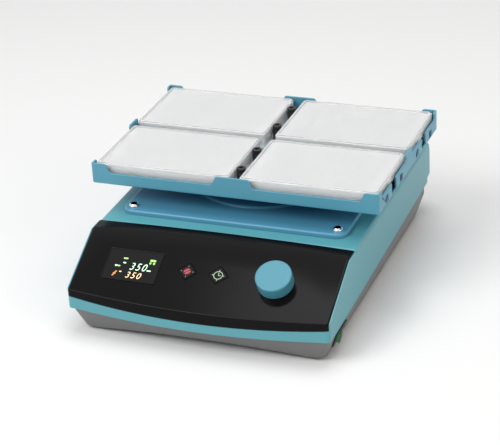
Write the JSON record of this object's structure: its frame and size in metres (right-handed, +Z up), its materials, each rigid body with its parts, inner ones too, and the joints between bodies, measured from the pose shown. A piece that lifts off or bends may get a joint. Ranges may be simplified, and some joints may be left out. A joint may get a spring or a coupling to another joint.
{
  "type": "microplate shaker",
  "caption": "Low bench shaker with a black control panel, whose open tray of lidded microplates is carried in a small flat orbit by a belt-driven eccentric shaft.",
  "frame": {"origin": "on the bench under the middle of the whole shaker, at the bottom of the feet", "axes": "+Z up, +X to the right seen from the control panel, +Y to the back"},
  "size_m": [0.271, 0.328, 0.117],
  "materials": {
    "teal_paint": "satin",
    "teal_tray": "satin",
    "grey_base": "matt",
    "black_panel": "glossy",
    "display_glass": "glossy",
    "module_black": "matt",
    "board_green": "satin",
    "key_red": "glossy",
    "key_green": "glossy",
    "knob_teal": "satin",
    "steel": "brushed",
    "zinc": "bright",
    "black_steel": "black oxide",
    "spring_blue": "satin",
    "black_plastic": "matt",
    "rocker_green": "translucent green",
    "rubber": "matt",
    "cast_alloy": "machined",
    "motor_black": "satin",
    "brass": "turned",
    "belt_rubber": "matt",
    "plate_white": "satin",
    "lid_clear": "clear polystyrene"
  },
  "bodies": {
    "housing": {"base_shell": "grey_base", "rubber_feet": "rubber", "top_cover": "teal_paint", "deck_plate": "teal_paint", "deck_screws": "zinc", "front_panel": "black_panel", "display_window": "display_glass", "display_module": "module_black", "control_board": "board_green", "key_switches": "black_plastic", "encoder_body": "black_plastic", "switch_housing": "black_plastic", "power_inlet": "black_plastic", "power_supply": "board_green", "drive_chassis": "steel", "bearing_housing": "cast_alloy", "idler_bearings": "brass", "drive_motor": "motor_black", "drive_belt": "belt_rubber"},
    "drive_shaft": {"eccentric_shaft": "steel", "drive_pulley": "cast_alloy", "counterweight": "steel"},
    "table": {"orbit_frame": "cast_alloy", "table_hub": "cast_alloy", "splash_guard": "teal_paint", "table_plate": "teal_paint", "tray": "teal_tray", "post_sleeves": "black_plastic", "post_screws": "black_steel", "clamp_spring_1": "spring_blue", "clamp_spring_2": "spring_blue", "clamp_spring_3": "spring_blue", "clamp_spring_4": "spring_blue"},
    "idler_crank_1": {"idler_crank_1": "steel"},
    "idler_crank_2": {"idler_crank_2": "steel"},
    "idler_crank_3": {"idler_crank_3": "steel"},
    "rotor": {"motor_rotor": "steel"},
    "knob": {"control_knob": "knob_teal", "knob_shaft": "steel"},
    "start_key": {"start_key": "key_red"},
    "timer_key": {"timer_key": "key_green"},
    "rocker": {"switch_rocker": "rocker_green"},
    "microplate_1": {"microplate_1": "plate_white"},
    "lid_1": {"plate_lid_1": "lid_clear"},
    "microplate_2": {"microplate_2": "plate_white"},
    "lid_2": {"plate_lid_2": "lid_clear"},
    "microplate_3": {"microplate_3": "plate_white"},
    "lid_3": {"plate_lid_3": "lid_clear"},
    "microplate_4": {"microplate_4": "plate_white"},
    "lid_4": {"plate_lid_4": "lid_clear"}
  },
  "joints": [
    {"name": "drive_spin", "type": "hinge", "parent": "housing", "child": "drive_shaft", "pos_m": [0, 0.0335, 0], "axis": [0, 0, 1], "continuous": true},
    {"name": "table_orbit", "type": "hinge", "parent": "drive_shaft", "child": "table", "pos_m": [0, 0.035, 0], "axis": [0, 0, 1], "continuous": true},
    {"name": "motor_spin", "type": "hinge", "parent": "housing", "child": "rotor", "pos_m": [-0.078, 0.0335, 0], "axis": [0, 0, 1], "continuous": true},
    {"name": "knob_turn", "type": "hinge", "parent": "housing", "child": "knob", "pos_m": [0.0637, -0.12842, 0.05803], "axis": [0, -0.4617, 0.887], "continuous": true},
    {"name": "start_key_press", "type": "slide", "parent": "housing", "child": "start_key", "axis": [0, 0.4617, -0.887], "range_m": [0, 0.0005], "stiffness_N_per_m": 600},
    {"name": "timer_key_press", "type": "slide", "parent": "housing", "child": "timer_key", "axis": [0, 0.4617, -0.887], "range_m": [0, 0.0005], "stiffness_N_per_m": 600},
    {"name": "rocker_tilt", "type": "hinge", "parent": "housing", "child": "rocker", "pos_m": [0.11565, -0.121, 0.01375], "axis": [0.3215, 0, 0.9469], "range_deg": [-20, 0]},
    {"name": "idler_1_spin", "type": "hinge", "parent": "housing", "child": "idler_crank_1", "pos_m": [0.062, 0.0335, 0], "axis": [0, 0, 1], "continuous": true},
    {"name": "idler_2_spin", "type": "hinge", "parent": "housing", "child": "idler_crank_2", "pos_m": [-0.031, 0.08719, 0], "axis": [0, 0, 1], "continuous": true},
    {"name": "idler_3_spin", "type": "hinge", "parent": "housing", "child": "idler_crank_3", "pos_m": [-0.031, -0.02019, 0], "axis": [0, 0, 1], "continuous": true},
    {"name": "microplate_1_lift", "type": "slide", "parent": "table", "child": "microplate_1", "axis": [0, 0, 1], "range_m": [0, 0.03]},
    {"name": "lid_1_lift", "type": "slide", "parent": "microplate_1", "child": "lid_1", "axis": [0, 0, 1], "range_m": [0, 0.03]},
    {"name": "microplate_2_lift", "type": "slide", "parent": "table", "child": "microplate_2", "axis": [0, 0, 1], "range_m": [0, 0.03]},
    {"name": "lid_2_lift", "type": "slide", "parent": "microplate_2", "child": "lid_2", "axis": [0, 0, 1], "range_m": [0, 0.03]},
    {"name": "microplate_3_lift", "type": "slide", "parent": "table", "child": "microplate_3", "axis": [0, 0, 1], "range_m": [0, 0.03]},
    {"name": "lid_3_lift", "type": "slide", "parent": "microplate_3", "child": "lid_3", "axis": [0, 0, 1], "range_m": [0, 0.03]},
    {"name": "microplate_4_lift", "type": "slide", "parent": "table", "child": "microplate_4", "axis": [0, 0, 1], "range_m": [0, 0.03]},
    {"name": "lid_4_lift", "type": "slide", "parent": "microplate_4", "child": "lid_4", "axis": [0, 0, 1], "range_m": [0, 0.03]}
  ],
  "couplings": [
    {"joint": "drive_spin", "follows": "table_orbit", "ratio": -1},
    {"joint": "idler_1_spin", "follows": "table_orbit", "ratio": -1},
    {"joint": "idler_2_spin", "follows": "table_orbit", "ratio": -1},
    {"joint": "idler_3_spin", "follows": "table_orbit", "ratio": -1},
    {"joint": "motor_spin", "follows": "table_orbit", "ratio": -2.9091}
  ]
}
